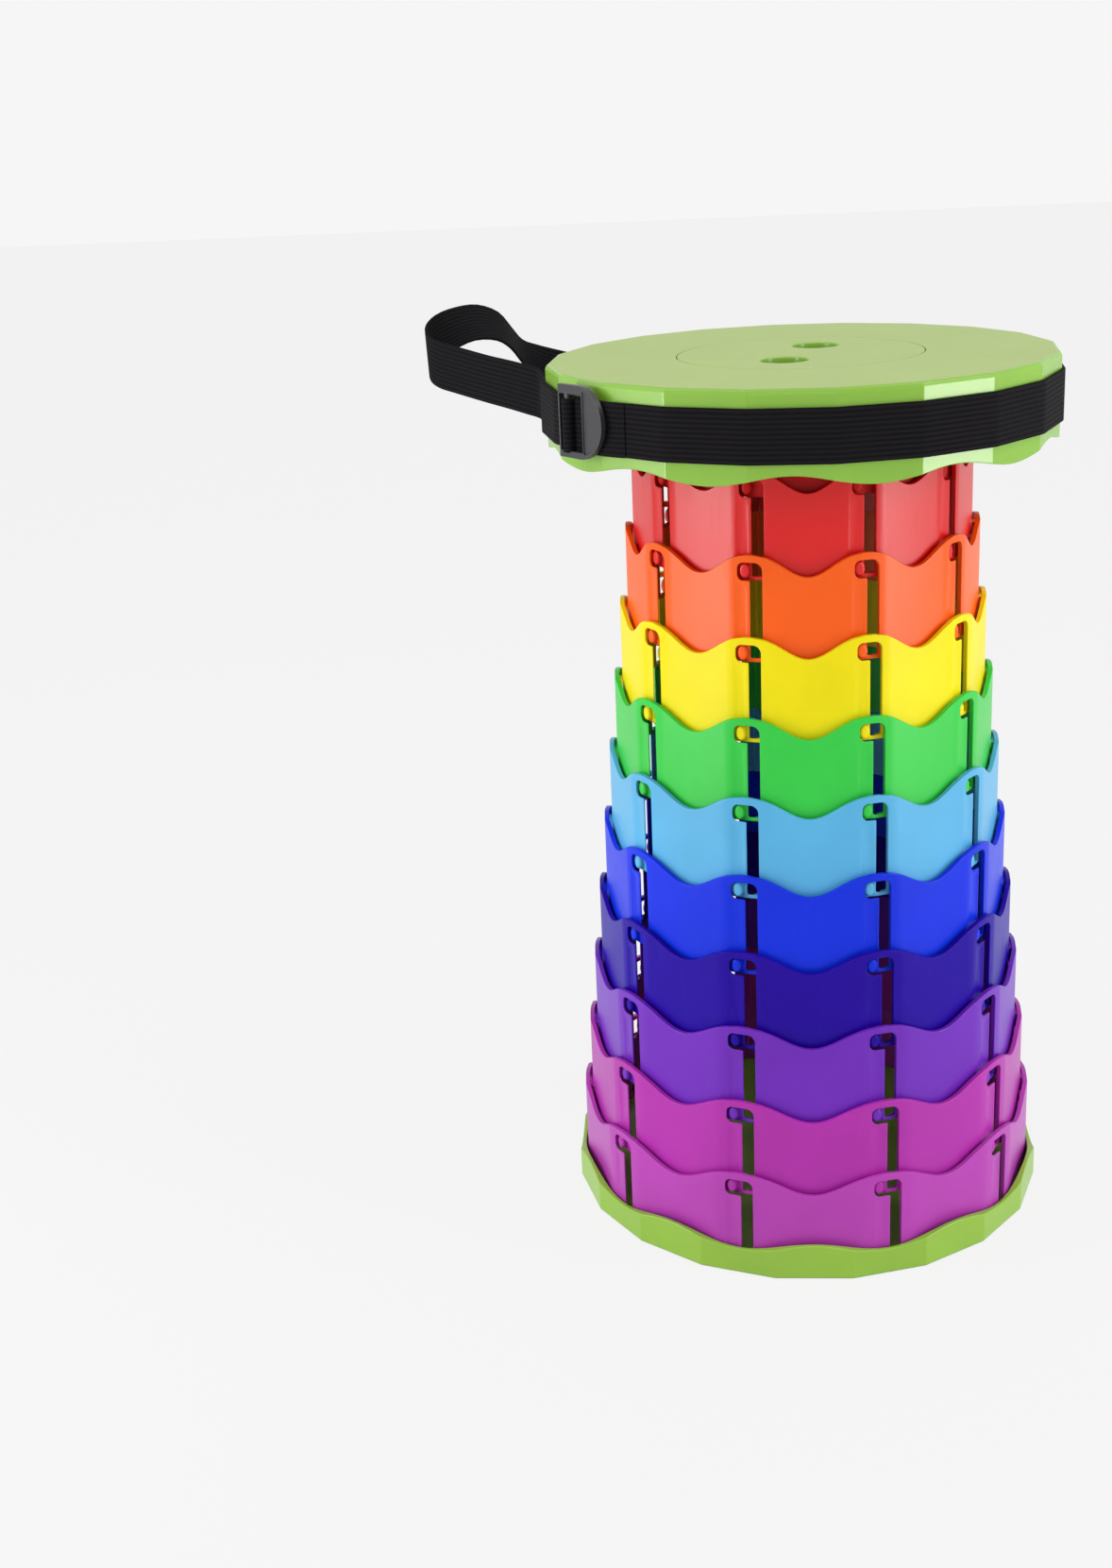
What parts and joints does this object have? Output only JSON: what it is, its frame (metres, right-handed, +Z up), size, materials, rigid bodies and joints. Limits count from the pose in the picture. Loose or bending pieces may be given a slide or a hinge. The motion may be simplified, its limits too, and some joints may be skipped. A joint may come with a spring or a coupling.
{
  "type": "collapsible telescopic stool",
  "caption": "Round folding stool of nested wave-edged rings that slide into each other, with a flat seat lid, a base tray and a webbing handle with buckle.",
  "frame": {"origin": "centre of the underside of the base tray, on the ground", "axes": "+Z up through the seat, -Y towards the front as pictured, +X to the right"},
  "size_m": [0.3263, 0.2558, 0.4691],
  "materials": {
    "ring_red": "satin moulded plastic",
    "ring_orange": "satin moulded plastic",
    "ring_yellow": "satin moulded plastic",
    "ring_green": "satin moulded plastic",
    "ring_light_blue": "satin moulded plastic",
    "ring_blue": "satin moulded plastic",
    "ring_indigo": "satin moulded plastic",
    "ring_violet": "satin moulded plastic",
    "ring_magenta_upper": "satin moulded plastic",
    "ring_magenta_lower": "satin moulded plastic",
    "seat_collar": "satin moulded plastic",
    "base_tray": "satin moulded plastic",
    "seat_lid": "fine-grained top, satin rim",
    "seat_centre_disc": "fine-grained moulded plastic",
    "webbing": "ribbed woven webbing",
    "buckle": "semi-matt moulded plastic"
  },
  "bodies": {
    "base": {"base_tray": "base_tray", "ring_magenta_lower": "ring_magenta_lower"},
    "ring_magenta_upper": {"ring_magenta_upper": "ring_magenta_upper"},
    "ring_violet": {"ring_violet": "ring_violet"},
    "ring_indigo": {"ring_indigo": "ring_indigo"},
    "ring_blue": {"ring_blue": "ring_blue"},
    "ring_light_blue": {"ring_light_blue": "ring_light_blue"},
    "ring_green": {"ring_green": "ring_green"},
    "ring_yellow": {"ring_yellow": "ring_yellow"},
    "ring_orange": {"ring_orange": "ring_orange"},
    "ring_red": {"ring_red": "ring_red"},
    "seat": {"seat_lid": "seat_lid", "seat_centre_disc": "seat_centre_disc", "seat_collar": "seat_collar", "strap_belt": "webbing", "strap_tail": "webbing"},
    "handle": {"strap_handle": "webbing"},
    "buckle": {"buckle_frame": "buckle"}
  },
  "joints": [
    {"name": "slide_ring_magenta_upper", "type": "slide", "parent": "base", "child": "ring_magenta_upper", "axis": [0, 0, 1], "range_m": [-0.039, 0]},
    {"name": "slide_ring_violet", "type": "slide", "parent": "ring_magenta_upper", "child": "ring_violet", "axis": [0, 0, 1], "range_m": [-0.039, 0]},
    {"name": "slide_ring_indigo", "type": "slide", "parent": "ring_violet", "child": "ring_indigo", "axis": [0, 0, 1], "range_m": [-0.039, 0]},
    {"name": "slide_ring_blue", "type": "slide", "parent": "ring_indigo", "child": "ring_blue", "axis": [0, 0, 1], "range_m": [-0.039, 0]},
    {"name": "slide_ring_light_blue", "type": "slide", "parent": "ring_blue", "child": "ring_light_blue", "axis": [0, 0, 1], "range_m": [-0.039, 0]},
    {"name": "slide_ring_green", "type": "slide", "parent": "ring_light_blue", "child": "ring_green", "axis": [0, 0, 1], "range_m": [-0.039, 0]},
    {"name": "slide_ring_yellow", "type": "slide", "parent": "ring_green", "child": "ring_yellow", "axis": [0, 0, 1], "range_m": [-0.039, 0]},
    {"name": "slide_ring_orange", "type": "slide", "parent": "ring_yellow", "child": "ring_orange", "axis": [0, 0, 1], "range_m": [-0.039, 0]},
    {"name": "slide_ring_red", "type": "slide", "parent": "ring_orange", "child": "ring_red", "axis": [0, 0, 1], "range_m": [-0.039, 0]},
    {"name": "slide_seat", "type": "slide", "parent": "ring_red", "child": "seat", "axis": [0, 0, 1], "range_m": [-0.039, 0]},
    {"name": "handle_swing", "type": "hinge", "parent": "seat", "child": "handle", "pos_m": [-0.12882, 0.0436, 0.432], "axis": [-0.3206, -0.9472, 0], "range_deg": [-65, 65]},
    {"name": "buckle_tilt", "type": "hinge", "parent": "seat", "child": "buckle", "pos_m": [-0.11072, -0.07319, 0.431], "axis": [0, 0, -1], "range_deg": [0, 14]}
  ]
}
